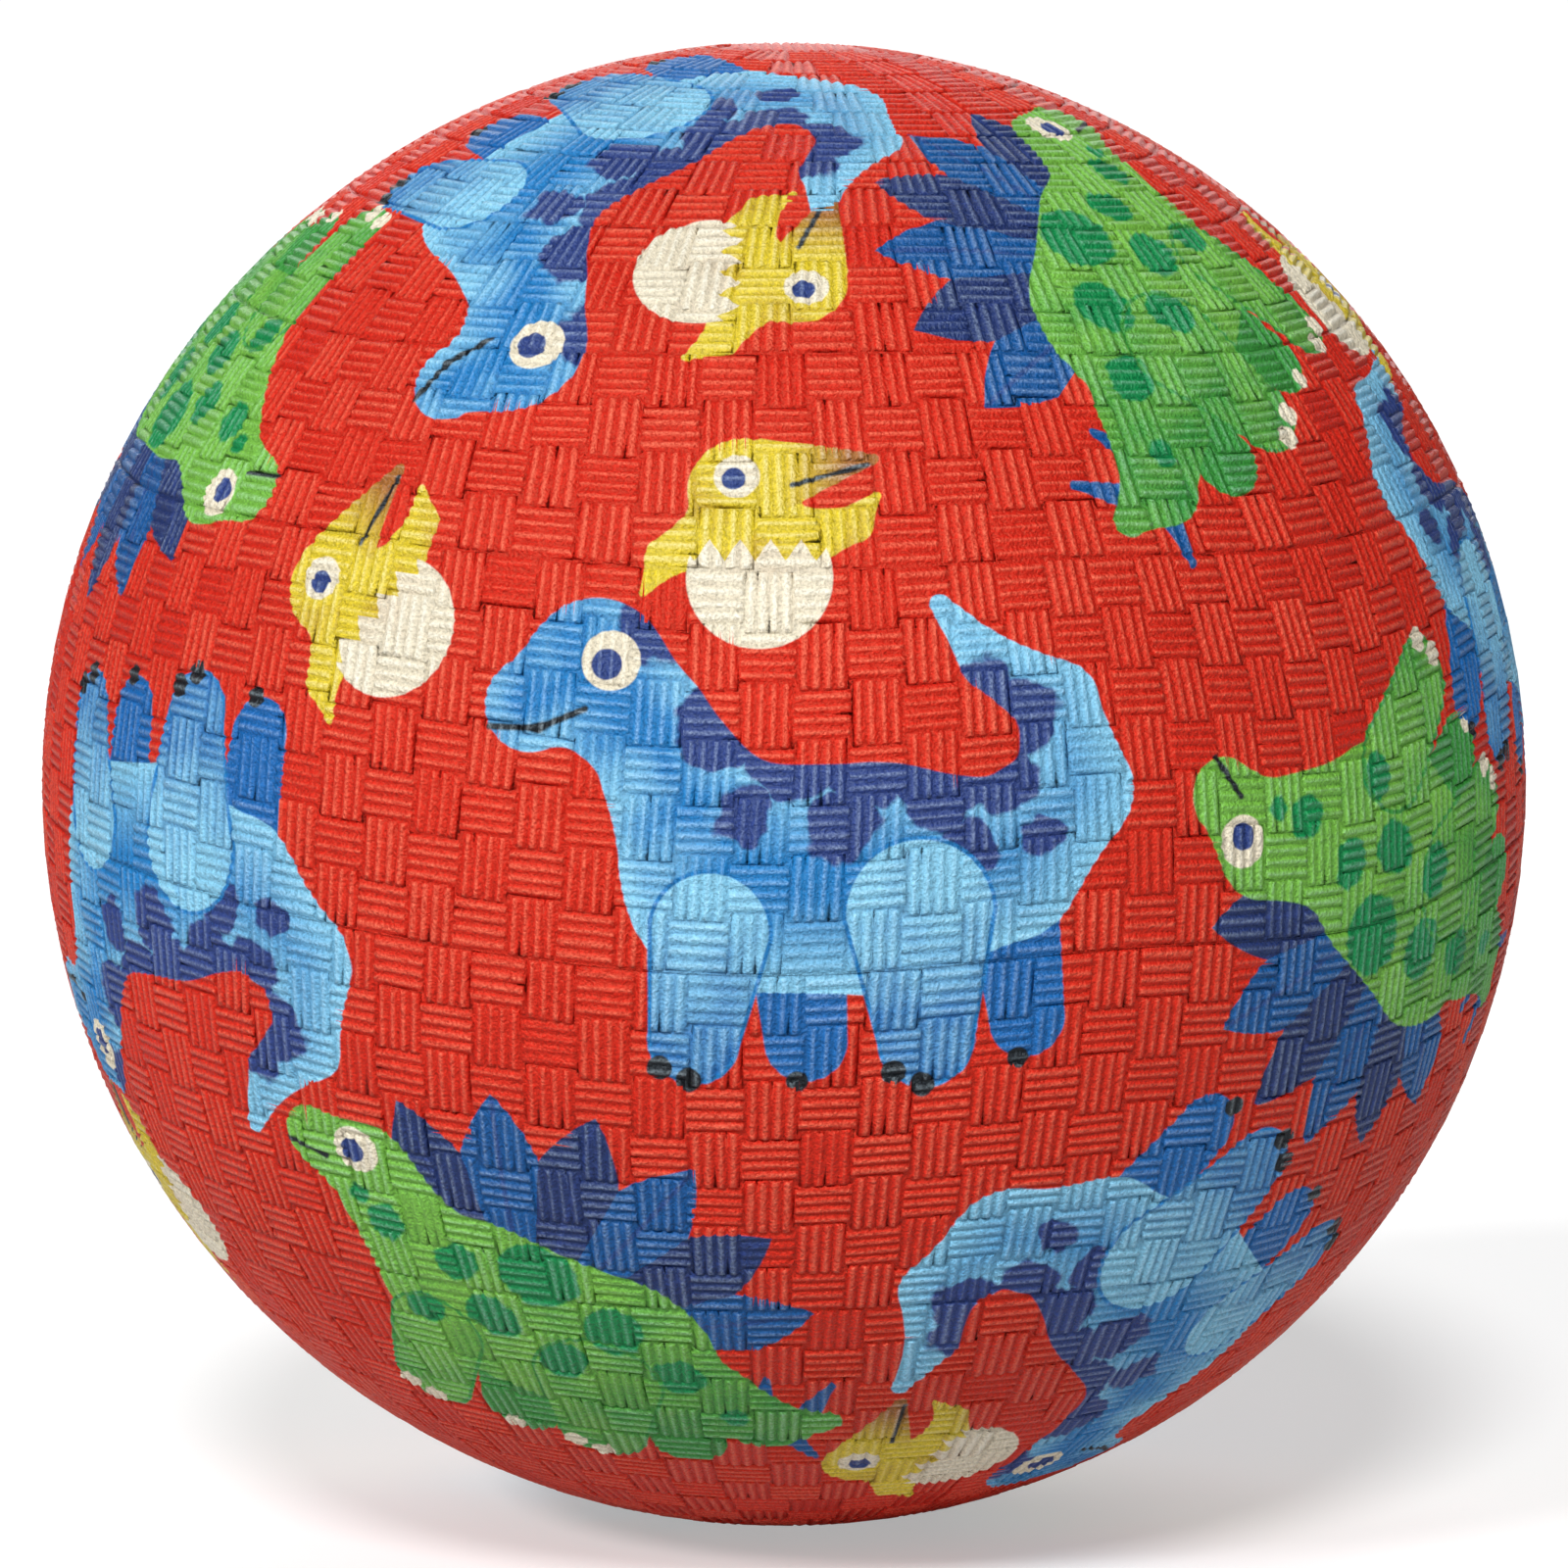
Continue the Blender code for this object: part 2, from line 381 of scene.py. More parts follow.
def stray(directions):
    """Bends the rows a little, as hand-laid mould patterns bend. The same for both halves."""
    x, y, z = directions.T
    # Slow waves at unlike paces, so that no two places bend alike
    waves = (np.sin(7 * y + 3 * z + 1), np.sin(8 * z - 4 * x + 2), np.sin(6 * x + 5 * y + 4))
    bent = directions + WANDER * np.stack(waves, -1)
    return bent / np.linalg.norm(bent, axis=1, keepdims=True)


def from_valve(points):
    """Distance from the valve's axis, or a long way on the ball's other side."""
    out = np.hypot(points[:, 0], points[:, 2])
    return np.where(points[:, 1] > 0, out, 1.0)


def half_shell(side, pairs):
    """One half of the cover as a closed shell: (points, faces, rib height from 0 to 1 at each point)."""
    skin, cap = weave(side, pairs)
    cap_patch(skin, cap)
    seam = (np.arange(SEAM_POINTS), np.arange(SEAM_POINTS) * math.tau / SEAM_POINTS)
    skin.join(inner_wall(skin), seam)
    lat, lon, height, faces = skin.arrays()
    out = np.cos(lat)
    directions = np.stack([out * np.sin(lon), -out * np.cos(lon), side * np.sin(lat)], -1)
    directions = stray(directions) @ np.array(MOULD).T
    fade = np.clip((from_valve(directions * BASE_RADIUS) - CLEAR_RADIUS) / FADE_WIDTH, 0, 1)
    height = np.where(height > 0, height * fade, height)
    points = directions * (BASE_RADIUS + height)[:, None]
    if side < 0:
        faces = faces[:, ::-1]
    return welded(points, faces, np.clip(height / RIB_HEIGHT, 0, 1))


def welded(points, faces, rib):
    """The same surface with each point there once."""
    mesh = bpy.data.meshes.new("weld")
    mesh.from_pydata(points, [], faces)
    shape = bmesh.new()
    shape.from_mesh(mesh)
    layer = shape.verts.layers.float.new("rib")
    for vert, value in zip(shape.verts, rib):
        vert[layer] = value
    bmesh.ops.remove_doubles(shape, verts=shape.verts, dist=WELD)
    shape.to_mesh(mesh)
    shape.free()
    points = np.empty(3 * len(mesh.vertices))
    mesh.vertices.foreach_get("co", points)
    faces = np.empty(3 * len(mesh.polygons), int)
    mesh.polygons.foreach_get("vertices", faces)
    rib = np.empty(len(mesh.vertices))
    mesh.attributes["rib"].data.foreach_get("value", rib)
    bpy.data.meshes.remove(mesh)
    return points.reshape(-1, 3), faces.reshape(-1, 3), rib


def open_ends(faces, near):
    """The open edges among the points where near is true, as (from, to) pairs."""
    ends = np.concatenate([faces[:, [0, 1]], faces[:, [1, 2]], faces[:, [2, 0]]])
    pairs = {tuple(e) for e in ends[near[ends].all(1)].tolist()}
    return sorted((b, a) for a, b in pairs if (b, a) not in pairs)


def cut_back(faces, gone, near):
    """Drops the faces at the gone points and at points left pinched. Returns the new rim too."""
    ends = pinched = None
    while ends is None or pinched:
        faces = faces[~gone[faces].any(1)]
        ends = open_ends(faces, near)
        starts = [a for a, _ in ends]
        pinched = [a for a in starts if starts.count(a) > 1]
        gone = gone.copy()
        gone[pinched] = True
    follow = dict(ends)
    rim = [ends[0][0]]
    while follow[rim[-1]] != rim[0]:
        rim.append(follow[rim[-1]])
    return faces, rim


def inside(polygon, spots):
    """Which spots lie inside the polygon."""
    a, b = polygon, np.roll(polygon, -1, 0)
    crosses = (a[:, 1] > spots[:, None, 1]) != (b[:, 1] > spots[:, None, 1])
    with np.errstate(divide="ignore", invalid="ignore"):
        at = a[:, 0] + (spots[:, None, 1] - a[:, 1]) / (b[:, 1] - a[:, 1]) * (b[:, 0] - a[:, 0])
    return (crosses & (spots[:, None, 0] < at)).sum(1) % 2 == 1


def with_circle(points, out, height):
    """Adds a circle round the valve's axis. Returns all points, and the circle's numbers."""
    turns = np.arange(VALVE_POINTS) * math.tau / VALVE_POINTS
    circle = np.stack([out * np.cos(turns), np.full(VALVE_POINTS, height), out * np.sin(turns)], -1)
    return np.concatenate([points, circle]), np.arange(len(points), len(points) + VALVE_POINTS)


def open_to_circle(points, faces, layer, reach, out, height, upwards):
    """Cuts a layer back from the valve's axis, then fills it up to a circle, which it returns too."""
    away = from_valve(points)
    faces, rim = cut_back(faces, layer & (away < reach), layer & (away < reach + RIM_SEARCH))
    points, circle = with_circle(points, out, height)
    ends = np.append(rim, circle)
    spots = points[ends][:, [0, 2]]
    lines = [(i, (i + 1) % len(rim)) for i in range(len(rim))]
    lines += [(len(rim) + i, len(rim) + (i + 1) % VALVE_POINTS) for i in range(VALVE_POINTS)]
    _, made, source = triangulated(spots, lines, HULL, 1e-9)
    made = np.array(source)[made]
    middles = spots[made].mean(1)
    made = made[inside(spots[: len(rim)], middles) & ~inside(spots[len(rim):], middles)]
    made = ends[made]
    a, b, c = (points[made[:, k]] for k in range(3))
    wrong = (np.cross(b - a, c - a)[:, 1] > 0) != upwards
    made[wrong] = made[wrong][:, ::-1]
    return points, np.concatenate([faces, made]), circle


def valve_opening(points, faces, rib):
    """The flat moulded land round the valve and the hole through the wall, in the lower half."""
    deep = np.linalg.norm(points, axis=1) < (COVER_INSIDE + BASE_RADIUS) / 2
    foot_height = math.sqrt(BASE_RADIUS**2 - LAND_FOOT**2)
    points, faces, last = open_to_circle(
        points, faces, ~deep, CLEAR_RADIUS, LAND_FOOT, foot_height, upwards=True)
    deep = np.append(deep, np.zeros(VALVE_POINTS, bool))
    inner_height = math.sqrt(COVER_INSIDE**2 - LAND_RADIUS**2)
    points, faces, end = open_to_circle(
        points, faces, deep, LAND_RADIUS, LAND_RADIUS, inner_height, upwards=False)
    profile = [(edge + out * MM, LAND_HEIGHT - down * MM)
               for edge, corners in ((LAND_RADIUS, LAND_EDGE), (VALVE_HOLE_RADIUS, HOLE_EDGE))
               for out, down in corners]
    profile.append((VALVE_HOLE_RADIUS, math.sqrt(COVER_INSIDE**2 - VALVE_HOLE_RADIUS**2)))
    for out, height in profile:
        points, circle = with_circle(points, out, height)
        faces = np.concatenate([faces, band(last, circle)])
        last = circle
    faces = np.concatenate([faces, band(last, end)])
    rib = np.append(rib, np.full(len(points) - len(rib), LAND_RIB_HEIGHT))
    return points, faces, rib


def band(last, circle):
    """Triangles between two circles of VALVE_POINTS points."""
    ahead = np.roll(last, -1)
    circle_ahead = np.roll(circle, -1)
    lower = np.stack([last, circle, ahead], -1)
    upper = np.stack([circle, circle_ahead, ahead], -1)
    return np.concatenate([lower, upper])


# ---- the print


def direction(azimuth, elevation):
    """A direction from the ball's centre. Azimuth 0 is the front, and it grows to the viewer's right."""
    az, el = math.radians(azimuth), math.radians(elevation)
    return Vector((math.sin(az) * math.cos(el), -math.cos(az) * math.cos(el), math.sin(el)))


# Each figure's kind, its azimuth, elevation and turn in degrees, and whether it is mirrored
BLUE, GREEN, YELLOW = 1, 2, 3
FRONT_FIGURES = (
    (BLUE, 1.5, -1, 0, False), (BLUE, -23, 52, -127, True), (BLUE, -54, -6.6, 180, True),
    (BLUE, 36, -41, 138, False), (BLUE, 77, 18, -10, True),
    (GREEN, -20.4, -35, -15, False), (GREEN, 31, 43, 48, True), (GREEN, 48, -8, 132, True),
    (GREEN, -65, 31, 180, False),
    (YELLOW, -2, 20, 0, False), (YELLOW, -31, 15.2, 50, False), (YELLOW, -3, 40.5, -90, True),
    (YELLOW, 16.5, -55, 75, False), (YELLOW, -70, -31, 60, False), (YELLOW, 68.8, 41, -60, True),
)
BACK_SEED = 188
BACK_TRIES = [BLUE, GREEN] * 85 + [YELLOW] * 90  # the small figure fills what the large ones leave
LARGE_MARGIN, SMALL_MARGIN = 3.0, 2.2  # millimetres kept clear round a back figure
TURN_STEP = 10  # degrees
FRONT_SHOWN = 0.20  # in radii: the front figures fill what lies further forward
VALVE_ROOM = math.radians(8.5)  # kept bare round the valve
# Evenly spread spots that stand for the ball's surface, on a spiral from pole to pole
SPOTS = 16000
GOLDEN_TURN = math.pi * (1 + math.sqrt(5))
SCALES = {BLUE: 0.9, GREEN: 0.95, YELLOW: 0.92}
FIGURE_REACH = 46  # millimetres from a figure's centre that it can cover
PRINT_MARGIN = 2.2  # millimetres of bare ground that go with a figure

# The figures, facing left, in millimetres from their centres. A limb is a row of (x, y, radius)
BLUE_NECK = ((-32, 16, 5.6), (-24.5, 19.5, 8.6), (-18, 13, 7.2), (-12, 2, 9.8))
BLUE_TRUNK = ((-8, -4, 13), (9, -4, 13.2), (23, -2, 9.4), (31.5, 6, 7.0), (29.5, 16, 4.9), (21, 21, 3.2),
              (15.5, 27.5, 1.2))
BLUE_NEAR_LEGS = (((-11, -10, 7.2), (-13, -23, 5.4)), ((13, -8, 9), (14, -23, 5.8)))
BLUE_FAR_LEGS = (((-1, -12, 5.5), (0, -23, 4.8)), ((24, -8, 5.4), (26, -21, 4.6)))
BLUE_NAILS = ((-17, -26.4, 1.5), (-13.6, -27.8, 1.5), (10.2, -26.8, 1.5), (13.6, -28.4, 1.5),
              (-1, -27.8, 1.3), (25, -25.6, 1.3))
BLUE_PATCHES = ((-16, 26, 5.6), (-10, 13.5, 5.0), (-2, 9.5, 5.2), (7, 10, 5.8), (15.5, 7, 5.2),
                (22, 8, 5.0), (25, 14.5, 4.2), (20, 18, 3.6), (4, 2, 4.2), (18, -1, 3.6),
                (-7, 3, 3.2), (27.5, 1, 2.4))
BLUE_MOUTH = ((-37, 13.4, 0.4), (-31, 13.2, 0.4), (-25.5, 15.4, 0.4))

GREEN_TRUNK = ((-7, -5, 13.4), (7, -8, 13), (17, -14, 7.6), (26, -19, 5), (32.5, -18, 2))
GREEN_NECK = ((-13, -2, 8.8), (-22.5, 9, 6.6), (-30, 10, 4.4))
GREEN_NEAR_LEGS = (((-14, -13, 6.2), (-15.5, -25, 5.2)), ((6, -14, 8), (6, -25.5, 5.6)))
GREEN_FAR_LEGS = (((-4, -16, 5), (-4, -24.5, 4.8)), ((15, -15, 5.4), (16.5, -24.5, 4.6)))
GREEN_SPIKES = (((25, -17, 1.9), (25.5, -9.5, 0.5)), ((29.5, -18, 1.9), (33, -10.5, 0.5)),
                ((28, -21, 1.6), (31.5, -27, 0.5)))
GREEN_SPOTS = ((-1, 2.5, 4.8), (-11, 1, 2.8), (-6.5, -6.5, 3.4), (8, -4, 3.6), (2, -11, 3.2),
               (15.5, -10, 3.0), (-20, 3, 2.4), (-15, -9, 2.6), (22, -17.5, 2.0), (-24, 5.5, 1.5))
GREEN_NAILS = ((-19, -28, 1.5), (-15.6, -29.2, 1.5), (2.6, -29, 1.5), (6, -30.2, 1.5), (-5, -28.6, 1.3))
GREEN_MOUTH = ((-34, 8.0, 0.36), (-28.5, 8.4, 0.36))
# The back plates: leaves that fan out from a centre
FAN_CENTRE = (-1, -6, 0)
FAN_START, FAN_STEP, FAN_COUNT = math.radians(4), math.radians(22), 7
PLATE_MIDDLE, PLATE_HALF, PLATE_WIDTH = 20.5, 12, 5.6
# A plate as a rough limb of (distance from the fan's centre, radius), to keep other figures off it
PLATE_LIMB = ((PLATE_MIDDLE - 4, PLATE_WIDTH), (PLATE_MIDDLE + PLATE_HALF - 2, 1.5))
PAST_FAN = 40.0  # millimetres added for each plate beyond the fan's end
VEIN_HALF, VEIN_DEPTH = 0.3, 0.6

HATCHLING_ARMS = (((5, -1, 3.8), (11, 1, 2.0), (13.5, 4.5, 0.5)),
                  ((-4, 0, 4.2), (-10, -3, 2.2), (-12.5, -7, 0.5)))
HATCHLING_BODY = ((0, -4, 6.2), (-1.5, 5, 6.2))
HATCHLING_BEAK = ((1.5, 6.5, 4.8), (13, 9, 0.7))
HATCHLING_MOUTH = ((4, 5.4, 0.32), (12.4, 8.2, 0.32))
EGG = (0.5, -5.5, 8.2)
EGG_EDGE, EGG_TOOTH, TOOTH_SLOPE = -3.6, 1.7, 1.5

# Each eye as (x, y, radius), and its pupil's place and size as shares of the radius
BLUE_EYE, GREEN_EYE, YELLOW_EYE = (-22.5, 21, 3.5), (-24.5, 11.5, 3.0), (-2.2, 6.5, 2.6)
PUPIL_LEFT, PUPIL_DOWN, PUPIL_SIZE = 0.14, 0.12, 0.52

OUTLINES = {
    BLUE: (BLUE_NECK, BLUE_TRUNK) + BLUE_NEAR_LEGS + BLUE_FAR_LEGS,
    GREEN: (GREEN_TRUNK, GREEN_NECK) + GREEN_NEAR_LEGS + GREEN_FAR_LEGS + GREEN_SPIKES,
    YELLOW: HATCHLING_ARMS + (HATCHLING_BODY, HATCHLING_BEAK, (EGG, EGG)),
}
for index in range(FAN_COUNT):
    turn = FAN_START + (index + 0.5) * FAN_STEP
    plate = [(FAN_CENTRE[0] + out * math.cos(turn), FAN_CENTRE[1] + out * math.sin(turn), radius)
             for out, radius in PLATE_LIMB]
    OUTLINES[GREEN] += (tuple(plate),)


def places_in(figure, directions):
    """Where the directions fall in the figure's own flat millimetres."""
    _, azimuth, elevation, turn, mirrored = figure
    centre = direction(azimuth, elevation)
    east = direction(azimuth + 90, 0)
    north = centre.cross(east)
    spin = math.radians(turn)
    right = east * math.cos(spin) + north * math.sin(spin)
    up = north * math.cos(spin) - east * math.sin(spin)
    if mirrored:
        right = -right
    ahead = directions @ np.array(centre)
    flat = directions @ np.array([right, up]).T
    angle = np.arccos(np.clip(ahead, -1, 1))
    stretch = angle / np.maximum(np.linalg.norm(flat, axis=-1), 1e-9)
    return flat * stretch[..., None] * (BALL_RADIUS / MM / SCALES[figure[0]])


def outside_by(kind, flat):
    """How far each place is outside the figure's outline."""
    nearest = np.full(len(flat), np.inf)
    for path in OUTLINES[kind]:
        for (x, y, radius), (x2, y2, radius2) in zip(path, path[1:]):
            along = np.array([x2 - x, y2 - y])
            start = flat - (x, y)
            share = np.clip(start @ along / max(along @ along, 1e-9), 0, 1)
            off = np.linalg.norm(start - share[:, None] * along, axis=1)
            nearest = np.minimum(nearest, off - radius - share * (radius2 - radius))
    return nearest


def near_figure(figure, directions):
    """Which directions lie near the figure, by number, and how far each is outside its outline."""
    ahead = directions @ np.array(direction(*figure[1:3]))
    close = np.flatnonzero(ahead > math.cos(FIGURE_REACH * MM / BALL_RADIUS))
    return close, outside_by(figure[0], places_in(figure, directions[close]))


def covered(figure, spots, margin):
    """Which spots, by number, lie within the margin of the figure."""
    close, gap = near_figure(figure, spots)
    return close[gap < margin]


def back_figures():
    """A random scatter of figures behind the front ones, clear of one another and of the valve."""
    rng = np.random.default_rng(BACK_SEED)
    order = np.arange(SPOTS) + 0.5
    tilt = np.arccos(1 - 2 * order / SPOTS)
    turn = GOLDEN_TURN * order
    spots = np.stack([np.cos(turn) * np.sin(tilt), np.sin(turn) * np.sin(tilt), np.cos(tilt)], -1)
    taken = (-spots[:, 1] > FRONT_SHOWN) | (spots[:, 1] > math.cos(VALVE_ROOM))
    for figure in FRONT_FIGURES:
        taken[covered(figure, spots, 0)] = True
    made = []
    most = 180 // TURN_STEP
    for kind in BACK_TRIES:
        x, y, z = spots[rng.choice(np.flatnonzero(~taken))]
        azimuth = round(math.degrees(math.atan2(x, -y)))
        elevation = round(math.degrees(math.asin(z)))
        turned = int(rng.integers(-most, most + 1)) * TURN_STEP
        mirrored = bool(rng.integers(0, 2))
        figure = (kind, azimuth, elevation, turned, mirrored)
        margin = SMALL_MARGIN if kind == YELLOW else LARGE_MARGIN
        if taken[covered(figure, spots, margin)].any():
            continue
        made.append(figure)
        taken[covered(figure, spots, 0)] = True
    return tuple(made)


FIGURES = FRONT_FIGURES + back_figures()


def share_out(points, faces):
    """For each face the kind of figure on it, or 0, and each of its corners' place in that figure."""
    directions = points / np.linalg.norm(points, axis=1, keepdims=True)
    corners = directions[faces]
    middles = corners.mean(1)
    middles /= np.linalg.norm(middles, axis=1, keepdims=True)
    kinds = np.zeros(len(faces), int)
    nearest = np.full(len(faces), PRINT_MARGIN)
    places = np.zeros((len(faces), 3, 3))
    for figure in FIGURES:
        close, gap = near_figure(figure, middles)
        won = gap < nearest[close]
        mine = close[won]
        nearest[mine] = gap[won]
        kinds[mine] = figure[0]
        places[mine, :, :2] = places_in(figure, corners[mine])
    return kinds, places


def cover_half(name, side, pairs):
    """One half of the cover's skin, in the scene."""
    points, faces, rib = half_shell(side, pairs)
    if side < 0:
        points, faces, rib = valve_opening(points, faces, rib)
    mesh = bpy.data.meshes.new(name)
    mesh.from_pydata(points, [], faces)
    ribs = mesh.attributes.new("rib", "FLOAT", "POINT")
    ribs.data.foreach_set("value", rib)
    kinds, places = share_out(points, faces)
    print_places = mesh.attributes.new("print_place", "FLOAT_VECTOR", "CORNER")
    print_places.data.foreach_set("vector", places.ravel())
    mesh.polygons.foreach_set("material_index", kinds)
    mesh.shade_smooth()
    piece = in_scene(name, mesh)
    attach(piece, "root")
    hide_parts("outer_cover")
    return piece


PAIRS = {(below, above): Pair(below, above) for below in (False, True) for above in (False, True)}
UPPER = cover_half("cover_skin_upper", 1, PAIRS)
LOWER = cover_half("cover_skin_lower", -1, PAIRS)

# ---- materials


def linear(red, green, blue):
    """A colour from its 0 to 255 values, as the linear light that a shader takes."""
    return tuple(((c / 255 + 0.055) / 1.055) ** 2.4 if c > 10 else c / 255 / 12.92
                 for c in (red, green, blue)) + (1.0,)


WHITE = linear(255, 255, 255)
# The colours of the painted highlight on the ribs' crests
HIGHLIGHT_PEACH, HIGHLIGHT_PALE_BLUE = linear(250, 190, 150), linear(215, 235, 245)
RED = linear(200, 32, 21)
LIGHT_BLUE, MID_BLUE, DEEP_BLUE = linear(128, 192, 222), linear(20, 118, 184), linear(6, 96, 168)
NAVY, PLATE_BLUE, PLATE_NAVY = linear(36, 56, 122), linear(0, 80, 146), linear(28, 46, 102)
LIGHT_GREEN, MID_GREEN, SPOT_GREEN = linear(114, 178, 62), linear(52, 142, 52), linear(0, 132, 68)
YOLK, OCHRE = linear(216, 192, 34), linear(160, 100, 36)
CREAM, INK = linear(226, 215, 190), linear(16, 16, 22)
POWDER = linear(190, 180, 170)

# In millimetres
LIMB_BLEND, BODY_BLEND = 1.5, 4.0
OUTLINE_WIDTH = 0.5
EDGE_PALING = 0.09  # how much paler the blue skin gets with each millimetre towards its edge

# The rubber's noises, in cycles per metre, and the ink's, in cycles per millimetre
PATCH_SCALE, LUMP_SCALE, SPECK_SCALE = 38.0, 750.0, 3000.0
DUST_SCALE, GRAIN_SCALE = 160.0, 2200.0
INK_SCALE, EDGE_SCALE = 0.13, 0.22
# Pairs of (gain, base) for a noise or the height on a rib. The first three multiply the colour: RIB_SHADE
# is painted shade in the valleys between the ribs, the other two a random mottle and grain
RIB_SHADE, PATCH_SHADE, SPECK_SHADE = (0.22, 0.78), (0.24, 0.90), (1.2, 0.37)
# Painted highlight on the crests, by rib height, and the speck noise that breaks it up
CREST_HIGHLIGHT_RAMP, SPECK_HIGHLIGHT_RAMP = (3.2, -2.2), (2.2, -0.65)
# Painted shade that deepens the inks towards the valleys between the ribs
GROOVE_SHADE_GAIN, GROOVE_SHADE_BASE = -0.22, 0.15
DUST, DUST_SHARE = (2.4, -1.1), 0.25
BEAK_SHADE = (0.13, -0.35)  # for x in millimetres
DOWN_SHADE, SHELL_SHADE = 0.8, 0.35
HIGHLIGHT_SHARE, HIGHLIGHT_PALENESS = 0.60, 0.38  # how strongly a crest takes the painted highlight, and how pale that highlight is
INK_CONTRAST = 4.0  # tells the inks from the red ground
SPECK_BUMP, LUMP_BUMP = 0.22 * MM, 0.34 * MM
SPECK_ROUGHNESS, SMOOTHEST = 0.22, 0.36


class Graph:
    """Adds nodes to a material. The methods return the output of what they add."""

    def __init__(self, name):
        self.material = bpy.data.materials.new(name)
        self.material.use_nodes = True
        tree = self.material.node_tree
        self.nodes, self.links = tree.nodes, tree.links
        self.shader = self.nodes["Principled BSDF"]

    def put(self, socket, value):
        """Links an output to the socket, or sets the socket to a value."""
        if isinstance(value, bpy.types.NodeSocket):
            self.links.new(value, socket)
        else:
            size = len(socket.default_value) if isinstance(value, tuple) else 0
            socket.default_value = value[:size] if size else value

    def to_shader(self, name, value):
        self.put(self.shader.inputs[name], value)

    def math(self, operation, *values, clamp=False):
        node = self.nodes.new("ShaderNodeMath")
        node.operation = operation
        node.use_clamp = clamp
        for socket, value in zip(node.inputs, values):
            self.put(socket, value)
        return node.outputs[0]

    def times(self, first, second, clamp=False):
        return self.math("MULTIPLY", first, second, clamp=clamp)

    def scaled(self, value, gain, base, clamp=False):
        return self.math("MULTIPLY_ADD", value, gain, base, clamp=clamp)

    def vector(self, operation, *values, scale=None):
        node = self.nodes.new("ShaderNodeVectorMath")
        node.operation = operation
        for socket, value in zip(node.inputs, values):
            self.put(socket, value)
        if scale is not None:
            self.put(node.inputs["Scale"], scale)
        return node.outputs["Value" if operation in ("LENGTH", "DISTANCE", "DOT_PRODUCT") else "Vector"]

    def mix(self, factor, under, over, blend="MIX"):
        node = self.nodes.new("ShaderNodeMix")
        node.data_type = "RGBA"
        node.blend_type = blend
        self.put(node.inputs[0], factor)
        colours = [socket for socket in node.inputs if socket.type == "RGBA"]
        self.put(colours[0], under)
        self.put(colours[1], over)
        return next(socket for socket in node.outputs if socket.type == "RGBA")

    def attribute(self, name, output):
        node = self.nodes.new("ShaderNodeAttribute")
        node.attribute_name = name
        return node.outputs[output]

    def noise(self, place, scale, detail=2.0, roughness=0.5, output="Fac"):
        node = self.nodes.new("ShaderNodeTexNoise")
        self.put(node.inputs["Vector"], place)
        for name, value in (("Scale", scale), ("Detail", detail), ("Roughness", roughness)):
            self.put(node.inputs[name], value)
        return node.outputs[output]

    def strayed(self, place, amount, scale):
        """The place moved about by noise, which makes a shape's edge wander."""
        wander = self.noise(place, scale, output="Color")
        return self.vector("MULTIPLY_ADD", wander, (amount, amount, 0),
                           self.vector("SUBTRACT", place, (amount / 2, amount / 2, 0)))

    def position(self):
        return self.nodes.new("ShaderNodeNewGeometry").outputs["Position"]

    def split(self, place):
        """The place's x and y."""
        node = self.nodes.new("ShaderNodeSeparateXYZ")
        self.put(node.inputs[0], place)
        return node.outputs["X"], node.outputs["Y"]

    def bump(self, height, distance, strength=1.0):
        node = self.nodes.new("ShaderNodeBump")
        self.put(node.inputs["Height"], height)
        self.put(node.inputs["Distance"], distance)
        self.put(node.inputs["Strength"], strength)
        return node.outputs["Normal"]

    # Shapes, down to union: each is the distance outside it, in millimetres

    def limb(self, place, path):
        """A row of (x, y, radius), blended into one tapering shape."""
        shape = None
        for (x, y, radius), (x2, y2, radius2) in zip(path, path[1:]):
            along = Vector((x2 - x, y2 - y, 0))
            start = self.vector("SUBTRACT", place, (x, y, 0))
            share = self.vector("DOT_PRODUCT", start, along / along.length_squared)
            share = self.math("ADD", share, 0.0, clamp=True)
            off = self.vector("SUBTRACT", start, self.vector("SCALE", along, scale=share))
            thick = self.scaled(share, radius2 - radius, radius)
            part = self.math("SUBTRACT", self.vector("LENGTH", off), thick)
            shape = part if shape is None else self.math("SMOOTH_MIN", shape, part, LIMB_BLEND)
        return shape

    def limbs(self, place, paths, blend=0.0):
        return self.union([self.limb(place, path) for path in paths], blend)

    def disc(self, place, x, y, radius):
        return self.math("SUBTRACT", self.vector("DISTANCE", place, (x, y, 0)), radius)

    def discs(self, place, spots):
        return self.union([self.disc(place, *spot) for spot in spots])

    def union(self, shapes, blend=0.0):
        whole = shapes[0]
        for shape in shapes[1:]:
            if blend:
                whole = self.math("SMOOTH_MIN", whole, shape, blend)
            else:
                whole = self.math("MINIMUM", whole, shape)
        return whole

    def within(self, shape, softness=0.2):
        """1 inside the shape and 0 outside, over a soft edge."""
        return self.scaled(shape, -1 / softness, 0.5, clamp=True)

    def paint(self, shape, under, over, softness=0.2):
        return self.mix(self.within(shape, softness), under, over)


